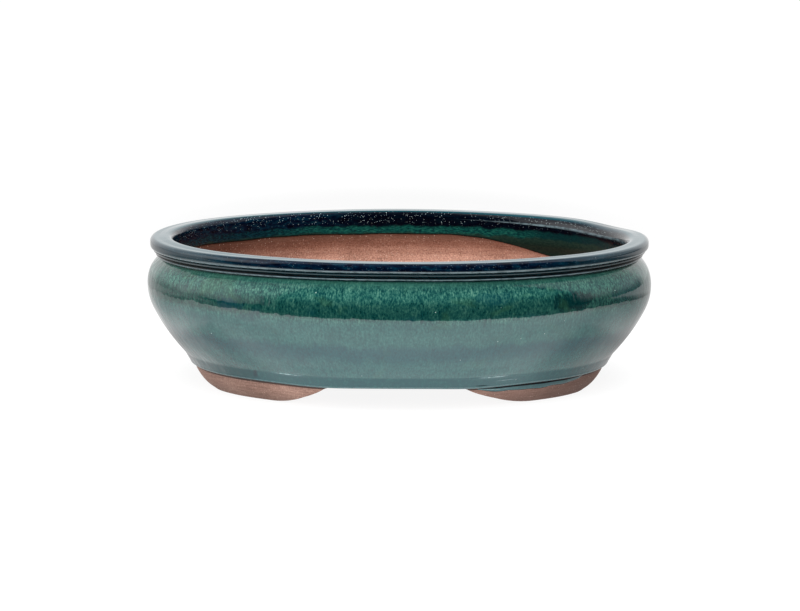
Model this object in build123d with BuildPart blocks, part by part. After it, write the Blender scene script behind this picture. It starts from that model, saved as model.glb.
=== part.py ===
from build123d import *
import os
from collections import namedtuple
from math import acos, asin, cos, degrees, hypot, radians, sin, sqrt

# An oval stoneware flower bowl: a low bulging wall on a flat floor, a beaded neck, a flat
# rolled lip, a cordon round the base and four feet with open arches between them.
# The bowl is thrown and built up in clay, so its pieces are luted face to face, and a coat
# of glaze lies over the outside, over the lip and a little way down the inside.
# Millimetres. +Z is up, +X runs along the length, the front faces -Y, and the origin lies
# at the middle of the footprint on the ground.

# Plan: an oval of four arcs, given by its size and by how far each end arc reaches round.
bowl_length = 255.0
bowl_width = 212.4
end_half_angle = 51.9

# Levels, stacked from the ground up.
foot_height = 10.4
belly_drop = 39.9
shoulder_rise = 14.7
lip_height = 3.9

# Outside of the wall, from its widest line up to the neck and down to the base.
neck_inset = 6.1
belly_radius = 26.0
belly_turn = 27.0
flare_radius = 98.0

# Clay and glaze.
wall_thickness = 8.6
floor_thickness = 7.0
floor_cove_radius = 9.0
wall_seat = 3.0
glaze_thickness = 0.6

# Lip: a flat rolled rim that stands proud of the neck, flush with the wall inside.
lip_inset = 1.5
lip_width = 11.9
lip_outer_radius = 2.3
lip_under_radius = 1.6
lip_inner_radius = 2.2
inner_glaze_depth = 12.5

# Neck mouldings, stacked from the shoulder up: notch, bead, groove, ring and undercut.
notch_height = 0.8
bead_radius = 0.7
groove_height = 0.8
ring_radius = 0.6
undercut_height = 0.8
bead_step = 1.1
ring_step = 1.4

# Cordon round the base.
cordon_height = 5.5
cordon_thickness = 3.2
cordon_edge_radius = 1.2

# Feet: the outer face leans in towards the ground, and each end sweeps up in an S curve.
foot_setback = 0.8
foot_lean = 5.6
foot_face_radius = 50.0
foot_pad_width = 11.2
foot_inner_draft = 1.4
foot_edge_radius = 0.8
side_gap = 68.0
end_gap = 17.0
arch_flare_radius = 4.0
arch_sweep_radius = 38.0

# Glaze that ran down the front right foot.
run_height = 5.0
run_thickness = 0.5
run_side_angle = 19.5
run_end_angle = 12.0

# Holes in the floor.
drain_radius = 9.0
drain_spacing = 92.0
tie_radius = 2.0
tie_spacing_x = 124.0
tie_spacing_y = 60.0

# Levels and insets that follow. An inset is a distance in from the widest line of the bowl.
belly_level = foot_height + belly_drop
neck_level = belly_level + shoulder_rise
neck_height = notch_height + 2 * bead_radius + groove_height + 2 * ring_radius + undercut_height
lip_level = neck_level + neck_height
bowl_height = lip_level + lip_height + glaze_thickness
floor_level = foot_height + floor_thickness
cordon_level = foot_height + cordon_height
shoulder_radius = (shoulder_rise**2 + neck_inset**2) / (2 * neck_inset)
clay_radius = shoulder_radius - glaze_thickness
clay_edge_inset = shoulder_radius - sqrt(clay_radius**2 - shoulder_rise**2)
mouth_inset = lip_inset + lip_width
inner_clay_inset = mouth_inset - glaze_thickness
bead_inset = neck_inset - bead_step
ring_inset = bead_inset - ring_step

# The flare arc carries on from the belly arc: its centre, in from the widest line and up.
flare_centre_inset = belly_radius + (flare_radius - belly_radius) * cos(radians(belly_turn))
flare_centre_level = belly_level + (flare_radius - belly_radius) * sin(radians(belly_turn))


def flare_inset(depth, level):
    """Inset of the flaring lower wall at a level, at a depth under the glazed surface."""
    radius = flare_radius - depth
    return flare_centre_inset - sqrt(radius**2 - (flare_centre_level - level) ** 2)


cordon_inset = flare_inset(0, foot_height) - cordon_thickness
wall_base_inset = flare_inset(glaze_thickness, foot_height)
slab_inset = wall_base_inset + wall_seat
foot_top_inset = cordon_inset + cordon_edge_radius + foot_setback

# The outer face of a foot is an arc that leans in: its centre, from the chord of that arc.
foot_chord = hypot(foot_lean, foot_height)
foot_centre_reach = sqrt(foot_face_radius**2 - (foot_chord / 2) ** 2)
foot_centre_inset = foot_top_inset + foot_lean / 2 + foot_centre_reach * foot_height / foot_chord
foot_centre_level = foot_height / 2 + foot_centre_reach * foot_lean / foot_chord

# The oval: each arc has a centre, a radius, a start angle and a sweep, and a section plane
# at its start and an axis for what is swept round it.
Arc = namedtuple("Arc", "centre radius start sweep plane axis")


def oval_arc(centre_x, centre_y, radius, start, sweep):
    """One arc of the oval, from a start angle and counter-clockwise through a sweep."""
    centre = (centre_x, centre_y, 0)
    direction = (cos(radians(start)), sin(radians(start)), 0)
    plane = Plane(origin=centre, x_dir=direction, z_dir=(direction[1], -direction[0], 0))
    return Arc(centre, radius, start, sweep, plane, Axis(centre, (0, 0, 1)))


half_length = bowl_length / 2
half_width = bowl_width / 2
end_cos = cos(radians(end_half_angle))
end_sin = sin(radians(end_half_angle))
radius_step = (half_length - half_width) / (end_sin + end_cos - 1)
end_radius = half_length - radius_step * end_cos
side_radius = end_radius + radius_step
end_centre = half_length - end_radius
side_centre = side_radius - half_width
side_half_angle = 90 - end_half_angle

oval = [
    oval_arc(end_centre, 0, end_radius, -end_half_angle, 2 * end_half_angle),
    oval_arc(0, -side_centre, side_radius, end_half_angle, 2 * side_half_angle),
    oval_arc(-end_centre, 0, end_radius, 180 - end_half_angle, 2 * end_half_angle),
    oval_arc(0, side_centre, side_radius, 180 + end_half_angle, 2 * side_half_angle),
]
front_right_quarter = [
    oval_arc(0, side_centre, side_radius, -90, side_half_angle),
    oval_arc(end_centre, 0, end_radius, -end_half_angle, end_half_angle),
]
front_right_run = [
    oval_arc(0, side_centre, side_radius, run_side_angle - 90, side_half_angle - run_side_angle),
    oval_arc(end_centre, 0, end_radius, -end_half_angle, run_end_angle),
]


def sweep_round(section, arcs):
    """Turn a section about the axis of each arc, inside the part that is being built."""
    for arc in arcs:
        revolve(section(arc), axis=arc.axis, revolution_arc=arc.sweep)


def at(reach, inset, level):
    """A point of a section, where the widest line of the bowl is at the given reach."""
    return (reach - inset, level)


def outside_line(reach, depth, bottom):
    """The outside of the wall from the neck down to a level, at a depth under the glaze."""
    upper = shoulder_radius - depth
    rise = degrees(asin(shoulder_rise / upper))
    CenterArc(at(reach, shoulder_radius, belly_level), upper, rise, -rise)
    CenterArc(at(reach, belly_radius, belly_level), belly_radius - depth, 0, -belly_turn)
    lower = flare_radius - depth
    fall = degrees(asin((flare_centre_level - bottom) / lower))
    CenterArc(
        at(reach, flare_centre_inset, flare_centre_level), lower, -belly_turn, belly_turn - fall
    )


def cordon_line(reach, depth):
    """The face of the cordon and its rounded lower edge, down to the base."""
    top = at(reach, flare_inset(depth, cordon_level), cordon_level)
    edge = at(reach, cordon_inset + depth, foot_height + cordon_edge_radius - depth / 2)
    face = Line(top, edge)
    TangentArc(
        edge, at(reach, cordon_inset + cordon_edge_radius + depth / 2, foot_height), tangent=face % 1
    )


def wall_section(arc):
    """The wall between the neck and the base, with a cove where it comes down on the floor."""
    reach = arc.radius
    inner_shoulder = shoulder_radius - wall_thickness
    inner_rise = degrees(acos((shoulder_radius - inner_clay_inset) / inner_shoulder))
    inner_flare = flare_radius - wall_thickness
    cove_reach = inner_flare - floor_cove_radius
    cove_angle = asin((flare_centre_level - floor_cove_radius - floor_level) / cove_reach)
    cove_inset = flare_centre_inset - cove_reach * cos(cove_angle)
    cove_level = floor_level + floor_cove_radius
    inner_top = inner_shoulder * sin(radians(inner_rise))
    with BuildSketch(arc.plane) as section:
        with BuildLine():
            outside_line(reach, glaze_thickness, foot_height)
            Polyline(
                at(reach, wall_base_inset, foot_height),
                at(reach, slab_inset, foot_height),
                at(reach, slab_inset, floor_level),
                at(reach, cove_inset, floor_level),
            )
            CenterArc(
                at(reach, cove_inset, cove_level), floor_cove_radius, -90, 90 - degrees(cove_angle)
            )
            CenterArc(
                at(reach, flare_centre_inset, flare_centre_level),
                inner_flare,
                -degrees(cove_angle),
                degrees(cove_angle) - belly_turn,
            )
            CenterArc(
                at(reach, belly_radius, belly_level),
                belly_radius - wall_thickness,
                -belly_turn,
                belly_turn,
            )
            CenterArc(at(reach, shoulder_radius, belly_level), inner_shoulder, 0, inner_rise)
            Polyline(
                at(reach, inner_clay_inset, belly_level + inner_top),
                at(reach, inner_clay_inset, neck_level),
                at(reach, clay_edge_inset, neck_level),
            )
        make_face()
    return section.sketch


def neck_section(arc):
    """The neck with its bead and its ring, glaze included."""
    reach = arc.radius
    bead_bottom = neck_level + notch_height
    bead_top = bead_bottom + 2 * bead_radius
    ring_bottom = bead_top + groove_height
    ring_top = ring_bottom + 2 * ring_radius
    with BuildSketch(arc.plane) as section:
        with BuildLine():
            Polyline(
                at(reach, inner_clay_inset, lip_level),
                at(reach, inner_clay_inset, neck_level),
                at(reach, neck_inset, neck_level),
                at(reach, bead_inset, bead_bottom),
            )
            ThreePointArc(
                at(reach, bead_inset, bead_bottom),
                at(reach, bead_inset - bead_radius, bead_bottom + bead_radius),
                at(reach, bead_inset, bead_top),
            )
            Line(at(reach, bead_inset, bead_top), at(reach, ring_inset, ring_bottom))
            ThreePointArc(
                at(reach, ring_inset, ring_bottom),
                at(reach, ring_inset - ring_radius, ring_bottom + ring_radius),
                at(reach, ring_inset, ring_top),
            )
            Polyline(
                at(reach, ring_inset, ring_top),
                at(reach, ring_inset, lip_level),
                at(reach, inner_clay_inset, lip_level),
            )
        make_face()
    return section.sketch


def lip_line(reach, depth, inner_level):
    """Round the lip from its underside, over the top and down the inside to a level."""
    under_centre = lip_inset + lip_under_radius
    outer_centre = lip_inset + lip_outer_radius
    inner_centre = mouth_inset - lip_inner_radius
    under_level = lip_level - glaze_thickness + lip_under_radius
    outer_level = bowl_height - lip_outer_radius
    round_level = bowl_height - lip_inner_radius
    CenterArc(at(reach, under_centre, under_level), lip_under_radius - depth, -90, 90)
    Line(at(reach, lip_inset + depth, under_level), at(reach, lip_inset + depth, outer_level))
    CenterArc(at(reach, outer_centre, outer_level), lip_outer_radius - depth, 0, 90)
    Line(at(reach, outer_centre, bowl_height - depth), at(reach, inner_centre, bowl_height - depth))
    CenterArc(at(reach, inner_centre, round_level), lip_inner_radius - depth, 90, 90)
    Line(at(reach, mouth_inset - depth, round_level), at(reach, mouth_inset - depth, inner_level))


def lip_section(arc):
    """The clay coil of the lip, under its coat of glaze."""
    reach = arc.radius
    with BuildSketch(arc.plane) as section:
        with BuildLine():
            lip_line(reach, glaze_thickness, lip_level)
            Line(
                at(reach, inner_clay_inset, lip_level),
                at(reach, lip_inset + lip_under_radius, lip_level),
            )
        make_face()
    return section.sketch


def lip_glaze_section(arc):
    """The coat over the lip: out of the undercut, over the top and down the inside."""
    reach = arc.radius
    inner_level = bowl_height - inner_glaze_depth
    with BuildSketch(arc.plane) as section:
        with BuildLine():
            lip_line(reach, 0, inner_level)
            Line(at(reach, mouth_inset, inner_level), at(reach, inner_clay_inset, inner_level))
            lip_line(reach, glaze_thickness, inner_level)
            Polyline(
                at(reach, lip_inset + lip_under_radius, lip_level),
                at(reach, ring_inset, lip_level),
                at(reach, ring_inset, lip_level - glaze_thickness),
                at(reach, lip_inset + lip_under_radius, lip_level - glaze_thickness),
            )
        make_face()
    return section.sketch


def cordon_section(arc):
    """The clay strip laid round the base of the wall."""
    reach = arc.radius
    base = flare_radius - glaze_thickness
    start = degrees(asin((flare_centre_level - cordon_level) / base))
    end = degrees(asin((flare_centre_level - foot_height) / base))
    with BuildSketch(arc.plane) as section:
        with BuildLine():
            cordon_line(reach, glaze_thickness)
            Line(
                at(reach, cordon_inset + cordon_edge_radius + glaze_thickness / 2, foot_height),
                at(reach, wall_base_inset, foot_height),
            )
            CenterArc(
                at(reach, flare_centre_inset, flare_centre_level), base, -end, end - start
            )
        make_face()
    return section.sketch


def outer_glaze_section(arc):
    """The coat over the belly and the cordon, from the notch to the base."""
    reach = arc.radius
    with BuildSketch(arc.plane) as section:
        with BuildLine():
            outside_line(reach, 0, cordon_level)
            cordon_line(reach, 0)
            Line(
                at(reach, cordon_inset + cordon_edge_radius, foot_height),
                at(reach, cordon_inset + cordon_edge_radius + glaze_thickness / 2, foot_height),
            )
            cordon_line(reach, glaze_thickness)
            outside_line(reach, glaze_thickness, cordon_level)
            Line(at(reach, clay_edge_inset, neck_level), at(reach, neck_inset, neck_level))
        make_face()
    return section.sketch


def foot_inset(proud, level):
    """Inset of the outer face of a foot at a level, standing proud by an amount."""
    radius = foot_face_radius + proud
    return foot_centre_inset - sqrt(radius**2 - (foot_centre_level - level) ** 2)


def foot_face(reach, proud, bottom):
    """The outer face of a foot from its top down to a level."""
    radius = foot_face_radius + proud
    start = degrees(asin((foot_height - foot_centre_level) / radius))
    end = degrees(asin((bottom - foot_centre_level) / radius))
    CenterArc(at(reach, foot_centre_inset, foot_centre_level), radius, start, end - start)


def foot_section(arc):
    """A foot: a leaning outer face, a flat pad on the ground and a nearly upright inner face."""
    reach = arc.radius
    face_inset = foot_inset(0, foot_edge_radius)
    pad_inset = face_inset + foot_edge_radius
    inner_inset = pad_inset + foot_pad_width
    with BuildSketch(arc.plane) as section:
        with BuildLine():
            foot_face(reach, 0, foot_edge_radius)
            Polyline(
                at(reach, face_inset, foot_edge_radius),
                at(reach, pad_inset, 0),
                at(reach, inner_inset, 0),
                at(reach, inner_inset + foot_edge_radius, foot_edge_radius),
                at(reach, inner_inset + foot_edge_radius + foot_inner_draft, foot_height),
                at(reach, foot_top_inset, foot_height),
            )
        make_face()
    return section.sketch


def foot_run_section(arc):
    """The run of glaze on a foot: a thin skin on its outer face, below the cordon."""
    reach = arc.radius
    bottom = foot_height - run_height
    with BuildSketch(arc.plane) as section:
        with BuildLine():
            foot_face(reach, 0, bottom)
            foot_face(reach, run_thickness, bottom)
            for level in (foot_height, bottom):
                Line(
                    at(reach, foot_inset(0, level), level),
                    at(reach, foot_inset(run_thickness, level), level),
                )
        make_face()
    return section.sketch


def arch_outline(plane, gap):
    """The open arch between two feet: an S curve on each side, from the base to the ground."""
    turn = acos(1 - foot_height / (arch_flare_radius + arch_sweep_radius))
    angle = degrees(turn)
    flare_end_x = gap / 2 + arch_flare_radius * sin(turn)
    ground_x = flare_end_x + arch_sweep_radius * sin(turn)
    with BuildSketch(plane) as outline:
        with BuildLine():
            CenterArc((gap / 2, foot_height - arch_flare_radius), arch_flare_radius, 90, -angle)
            CenterArc((ground_x, arch_sweep_radius), arch_sweep_radius, 270, -angle)
            Line((ground_x, 0), (0, 0))
            Line((0, foot_height), (gap / 2, foot_height))
            mirror(about=Plane.YZ)
        make_face()
    return outline.sketch


with BuildPart() as floor_slab:
    with BuildSketch(Plane.XY.offset(foot_height)):
        with BuildLine():
            for arc in oval:
                CenterArc(arc.centre, arc.radius - slab_inset, arc.start, arc.sweep)
        make_face()
    extrude(amount=floor_thickness)
    with Locations((0, 0, floor_level)):
        with GridLocations(drain_spacing, 1, 2, 1):
            Hole(drain_radius, depth=floor_thickness)
        with GridLocations(tie_spacing_x, tie_spacing_y, 2, 2):
            Hole(tie_radius, depth=floor_thickness)
floor_slab.part.label = "floor_slab"

with BuildPart() as belly_wall:
    sweep_round(wall_section, oval)
belly_wall.part.label = "belly_wall"

with BuildPart() as neck_moulding:
    sweep_round(neck_section, oval)
neck_moulding.part.label = "neck_moulding"

with BuildPart() as lip_coil:
    sweep_round(lip_section, oval)
lip_coil.part.label = "lip_coil"

with BuildPart() as base_cordon:
    sweep_round(cordon_section, oval)
base_cordon.part.label = "base_cordon"

with BuildPart() as outer_glaze:
    sweep_round(outer_glaze_section, oval)
outer_glaze.part.label = "outer_glaze"

with BuildPart() as lip_glaze:
    sweep_round(lip_glaze_section, oval)
lip_glaze.part.label = "lip_glaze"

with BuildPart() as foot_front_right:
    sweep_round(foot_section, front_right_quarter)
    extrude(arch_outline(Plane.XZ, side_gap), amount=bowl_width, both=True, mode=Mode.SUBTRACT)
    extrude(arch_outline(Plane.YZ, end_gap), amount=bowl_length, both=True, mode=Mode.SUBTRACT)
foot_front_right.part.label = "foot_front_right"

with BuildPart() as foot_front_left:
    add(foot_front_right.part.mirror(Plane.YZ))
foot_front_left.part.label = "foot_front_left"

with BuildPart() as foot_rear_right:
    add(foot_front_right.part.mirror(Plane.XZ))
foot_rear_right.part.label = "foot_rear_right"

with BuildPart() as foot_rear_left:
    add(foot_front_left.part.mirror(Plane.XZ))
foot_rear_left.part.label = "foot_rear_left"

with BuildPart() as foot_glaze_run:
    sweep_round(foot_run_section, front_right_run)
foot_glaze_run.part.label = "foot_glaze_run"

pieces = [
    floor_slab,
    belly_wall,
    neck_moulding,
    lip_coil,
    base_cordon,
    foot_front_left,
    foot_front_right,
    foot_rear_left,
    foot_rear_right,
    outer_glaze,
    lip_glaze,
    foot_glaze_run,
]
os.makedirs("parts", exist_ok=True)
for piece in pieces:
    export_step(piece.part, f"parts/{piece.part.label}.step")
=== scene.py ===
from collections import namedtuple
from math import acos, asin, cos, hypot, pi, radians, sin, sqrt

import bmesh
import bpy
import numpy as np
from mathutils import Matrix, Vector

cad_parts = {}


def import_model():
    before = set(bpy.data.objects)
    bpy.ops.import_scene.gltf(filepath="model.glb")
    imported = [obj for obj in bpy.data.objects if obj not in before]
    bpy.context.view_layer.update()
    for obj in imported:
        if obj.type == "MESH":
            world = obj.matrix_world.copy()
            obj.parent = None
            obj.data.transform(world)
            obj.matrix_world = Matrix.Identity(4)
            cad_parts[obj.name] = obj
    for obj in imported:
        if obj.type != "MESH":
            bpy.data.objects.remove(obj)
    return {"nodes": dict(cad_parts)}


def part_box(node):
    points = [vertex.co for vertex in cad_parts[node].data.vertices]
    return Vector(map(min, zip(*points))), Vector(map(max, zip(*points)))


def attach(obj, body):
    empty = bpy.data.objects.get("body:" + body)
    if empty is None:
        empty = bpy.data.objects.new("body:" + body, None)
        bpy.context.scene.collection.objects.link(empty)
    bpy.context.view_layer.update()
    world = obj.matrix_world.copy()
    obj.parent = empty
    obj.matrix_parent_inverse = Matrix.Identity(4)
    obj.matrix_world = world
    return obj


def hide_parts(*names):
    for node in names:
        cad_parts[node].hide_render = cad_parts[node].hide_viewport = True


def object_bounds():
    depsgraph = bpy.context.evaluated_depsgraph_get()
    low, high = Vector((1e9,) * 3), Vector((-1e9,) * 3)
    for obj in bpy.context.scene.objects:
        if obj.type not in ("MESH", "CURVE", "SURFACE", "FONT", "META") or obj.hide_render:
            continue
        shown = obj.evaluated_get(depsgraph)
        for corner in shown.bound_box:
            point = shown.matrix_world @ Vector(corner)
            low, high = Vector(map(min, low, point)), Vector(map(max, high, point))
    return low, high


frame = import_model()
cad_low, cad_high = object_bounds()

# An oval stoneware flower bowl: bare red clay inside and on its feet, a green glaze with
# fine runs on its belly, and a blue-black glaze with small crystals on its neck and lip.
# Shapes and materials are worked out in millimetres, and meshes are made in metres.
MM = 0.001


def level_of(node, corner):
    """The lowest (0) or highest (1) level of a CAD node, in millimetres."""
    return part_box(node)[corner][2] / MM


# Levels and plan, from the frame.
half_length = cad_high.x / MM
half_width = cad_high.y / MM
bowl_height = cad_high.z / MM
foot_height = level_of("floor_slab", 0)
floor_level = level_of("floor_slab", 1)
cordon_level = level_of("base_cordon", 1)
neck_level = level_of("neck_moulding", 0)
lip_level = level_of("lip_coil", 0)
run_level = level_of("foot_glaze_run", 0)

# The same forms as in the solids, but for the lip's inner rounding, which is wider.
end_half_angle = radians(51.9)
belly_level = 50.3
neck_inset = 6.1
belly_radius = 26.0
belly_turn = radians(27.0)
flare_radius = 98.0
wall_thickness = 8.6
floor_cove_radius = 9.0
wall_seat = 3.0
glaze_thickness = 0.6
lip_inset = 1.5
lip_width = 11.9
lip_outer_radius = 2.3
lip_under_radius = 1.6
lip_inner_radius = 3.2
notch_height = 0.8
bead_radius = 0.7
groove_height = 0.8
ring_radius = 0.6
bead_step = 1.1
ring_step = 1.4
cordon_thickness = 3.2
cordon_edge_radius = 1.2
foot_setback = 0.8
foot_lean = 5.6
foot_face_radius = 50.0
foot_pad_width = 11.2
foot_inner_draft = 1.4
foot_edge_radius = 0.8
side_gap = 68.0
end_gap = 17.0
arch_flare_radius = 4.0
arch_sweep_radius = 38.0

shoulder_rise = neck_level - belly_level
shoulder_radius = (shoulder_rise**2 + neck_inset**2) / (2 * neck_inset)
mouth_inset = lip_inset + lip_width
inner_clay_inset = mouth_inset - glaze_thickness
bead_inset = neck_inset - bead_step
ring_inset = bead_inset - ring_step
flare_centre_inset = belly_radius + (flare_radius - belly_radius) * cos(belly_turn)
flare_centre_level = belly_level + (flare_radius - belly_radius) * sin(belly_turn)


def flare_inset(depth, level):
    """Inset of the flaring lower wall at a level, at a depth under the glazed surface."""
    rise = flare_centre_level - level
    return flare_centre_inset - sqrt((flare_radius - depth) ** 2 - rise**2)


cordon_inset = flare_inset(0, foot_height) - cordon_thickness
wall_base_inset = flare_inset(glaze_thickness, foot_height)
slab_inset = wall_base_inset + wall_seat
foot_top_inset = cordon_inset + cordon_edge_radius + foot_setback
foot_chord = hypot(foot_lean, foot_height)
foot_centre_reach = sqrt(foot_face_radius**2 - (foot_chord / 2) ** 2)
foot_centre_inset = foot_top_inset + foot_lean / 2 + foot_centre_reach * foot_height / foot_chord
foot_centre_level = foot_height / 2 + foot_centre_reach * foot_lean / foot_chord

# The oval's four arcs.
radius_step = (half_length - half_width) / (sin(end_half_angle) + cos(end_half_angle) - 1)
end_radius = half_length - radius_step * cos(end_half_angle)
side_radius = end_radius + radius_step
end_centre = half_length - end_radius
side_centre = side_radius - half_width
side_half_angle = pi / 2 - end_half_angle

# How fine the meshes are: steps round the bowl, and steps and points along profiles.
OVAL_STEP, FOOT_STEP, RUN_STEP = 1.1, 0.8, 0.6
PROFILE_STEP, FINE_STEP, NECK_STEP = 0.5, 0.25, 0.12
LIP_POINTS, FOOT_POINTS, RUN_POINTS = 26, 22, 14

# Stations round the oval: the centre, direction and radius of their arc, and their bearing.
Stations = namedtuple("Stations", "centre direction reach bearing closed")
# Arcs: centre, radius, start and sweep.
OVAL = (
    ((end_centre, 0), end_radius, -end_half_angle, 2 * end_half_angle),
    ((0, -side_centre), side_radius, end_half_angle, 2 * side_half_angle),
    ((-end_centre, 0), end_radius, pi - end_half_angle, 2 * end_half_angle),
    ((0, side_centre), side_radius, pi + end_half_angle, 2 * side_half_angle),
)
FRONT_RIGHT_QUARTER = (
    ((0, side_centre), side_radius, -pi / 2, side_half_angle),
    ((end_centre, 0), end_radius, -end_half_angle, end_half_angle),
)


def stations_on(arcs, step, closed):
    """Evenly spaced stations along arcs, one more at the far end if the row is open."""
    centre, direction, reach = [], [], []
    for spot, radius, start, sweep in arcs:
        count = round(radius * sweep / step)
        for i in range(count):
            angle = start + sweep * i / count
            centre.append(spot)
            direction.append((cos(angle), sin(angle)))
            reach.append(radius)
    if not closed:
        centre.append(spot)
        direction.append((cos(start + sweep), sin(start + sweep)))
        reach.append(radius)
    return bearings_added(np.array(centre), np.array(direction), np.array(reach), closed)


def bearings_added(centre, direction, reach, closed):
    """Stations with the bearing of their place on the widest line."""
    x, y = (centre + direction * reach[:, None]).T
    return Stations(centre, direction, reach, np.arctan2(y, x), closed)


def kept_stations(stations, keep):
    """The stations that are kept, as an open row."""
    return Stations(*(values[keep] for values in stations[:-1]), False)


def plan_of(stations, insets):
    """Where points with insets lie in plan, as arrays [station, point] of x and of y."""
    out = stations.reach[:, None] - insets
    x = stations.centre[:, :1] + stations.direction[:, :1] * out
    y = stations.centre[:, 1:] + stations.direction[:, 1:] * out
    return x, y


oval = stations_on(OVAL, OVAL_STEP, True)


# Profiles are rows of (inset, level) points.
def arc_points(inset, level, radius, start, end, step=PROFILE_STEP):
    """Points on an arc about a centre. Angles count from straight out towards the top."""
    count = max(4, round(abs(end - start) * radius / step))
    angles = np.linspace(start, end, count + 1)
    return [(inset - radius * cos(a), level + radius * sin(a)) for a in angles]


def line_points(start, end, step=PROFILE_STEP):
    """Points on a straight line."""
    across, up = end[0] - start[0], end[1] - start[1]
    count = max(1, round(hypot(across, up) / step))
    return [(start[0] + across * i / count, start[1] + up * i / count) for i in range(count + 1)]


def joined(*rows):
    """Rows of points in one, without the points that two rows share."""
    points = [rows[0][0]]
    for row in rows:
        for p in row:
            if hypot(p[0] - points[-1][0], p[1] - points[-1][1]) > 1e-4:
                points.append(p)
    return points


def softened(points, passes):
    """A profile drawn smooth, as glaze fills creases and thins over edges. Its ends stay."""
    p = np.array(points)
    for _ in range(passes):
        p[1:-1] = p[1:-1] / 2 + (p[:-2] + p[2:]) / 4
    return p


def lower_wall(depth, bottom, step=PROFILE_STEP):
    """The wall from its widest line down to a level, at a depth under the glazed surface."""
    flare = flare_radius - depth
    end = -asin((flare_centre_level - bottom) / flare)
    return joined(
        arc_points(belly_radius, belly_level, belly_radius - depth, 0, -belly_turn, step),
        arc_points(flare_centre_inset, flare_centre_level, flare, -belly_turn, end, step),
    )


def outside_line(depth, bottom, step=PROFILE_STEP):
    """The outside of the wall from the neck down to a level, at a depth under the glaze."""
    upper = shoulder_radius - depth
    shoulder = arc_points(shoulder_radius, belly_level, upper, asin(shoulder_rise / upper), 0, step)
    return joined(shoulder, lower_wall(depth, bottom, step))


def inner_wall_line(bottom):
    """The inside of the clay wall from the lip down to a level, without a crease."""
    upper = shoulder_radius - wall_thickness
    top = acos((shoulder_radius - inner_clay_inset) / upper)
    turn = (inner_clay_inset, belly_level + upper * sin(top))
    line = joined(
        line_points((inner_clay_inset, lip_level), turn),
        arc_points(shoulder_radius, belly_level, upper, top, 0),
        lower_wall(wall_thickness, bottom),
    )
    return softened(line, passes=40).tolist()


def lip_outline(depth, inner_radius):
    """Round the lip from its underside, over the top, to where the inside wall begins."""
    under_inset = lip_inset + lip_under_radius
    under_level = lip_level - glaze_thickness + lip_under_radius
    outer_inset, outer_level = lip_inset + lip_outer_radius, bowl_height - lip_outer_radius
    inner_inset, inner_level = mouth_inset - inner_radius, bowl_height - inner_radius
    inner = inner_radius - depth
    return joined(
        arc_points(under_inset, under_level, lip_under_radius - depth, -pi / 2, 0, FINE_STEP),
        arc_points(outer_inset, outer_level, lip_outer_radius - depth, 0, pi / 2, FINE_STEP),
        [
            (inset, bowl_height - depth)
            for inset in np.linspace(outer_inset, inner_inset, LIP_POINTS)
        ],
        [
            (inner_inset - inner * cos(a), inner_level + inner * sin(a))
            for a in np.linspace(pi / 2, pi, LIP_POINTS)
        ],
    )


# Smooth shares between 0 and 1.
def share_past(values, start, reach):
    """0 up to a start and 1 from a reach further on. A negative reach counts down."""
    return np.clip((values - start) / reach, 0, 1)


def eased(share):
    """The same share with a soft start and end."""
    return share * share * (3 - 2 * share)


def near(values, middle, width):
    """A bell round a value."""
    return np.exp(-(((values - middle) / width) ** 2))


def turned_from(bearing, place):
    """The angle from one bearing to another, within half a turn."""
    return (bearing - place + pi) % (2 * pi) - pi


def near_bearing(bearing, place, width):
    """A bell round a bearing."""
    return near(turned_from(bearing, place), 0, width)


def waves(bearing, terms):
    """A sum of waves round the bowl, each a (count, size, bearing of the crest)."""
    return sum(size * np.cos(count * (bearing - crest)) for count, size, crest in terms)


def crest_of(terms):
    """The most that such waves can add up to."""
    return sum(size for _, size, _ in terms)


# Small unevenness that the whole bowl shares, so that its pieces stay together.
# Waves are (count, size, bearing of the crest), and dips are (bearing, width, depth).
LIP_WAVES = ((2, 0.05, 1.1), (3, 0.05, 2.6), (5, 0.03, 0.4))
LIP_DIP = (0.38, 0.20, 1.3)
SIDE_WAVES = ((3, 0.06, 0.7), (5, 0.04, 2.0), (8, 0.03, 1.2))
SIDE_TWIST = 0.012
FRONT_DROP = 0.4
NECK_EASE = 0.65
# How much lower the neck sits than at the middle of the front, by bearing.
NECK_SAG = (
    (-3.14, 1.10), (-2.68, 1.00), (-2.38, 0.76), (-2.15, 0.50), (-1.90, 0.30),
    (-1.75, 0.12), (-1.57, 0.00), (-1.40, 0.20), (-1.25, 0.38), (-1.00, 0.62),
    (-0.76, 0.64), (-0.46, 0.50), (0.00, 0.50), (1.57, 0.00), (3.14, 1.10),
)
CORDON_DIPS = ((-1.99, 0.22, 0.65), (-1.16, 0.20, 0.75))
# Where each of them sets in, as a level or an inset and how far on it is in full.
WALL_FROM = (22.0, bowl_height - 22.0)
LIP_FROM = (neck_level + 4.5, 3.0)
NECK_FROM = (58.0, 5.5)
NECK_WITHIN = (9.0, -3.0)
NECK_EASES_FROM = (lip_level + 0.5, 2.0)
CORDON_BELOW = (21.0, -4.0)
CORDON_ABOVE = (0.0, foot_height)
CORDON_WITHIN = (cordon_inset + 6.0, -3.0)


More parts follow.
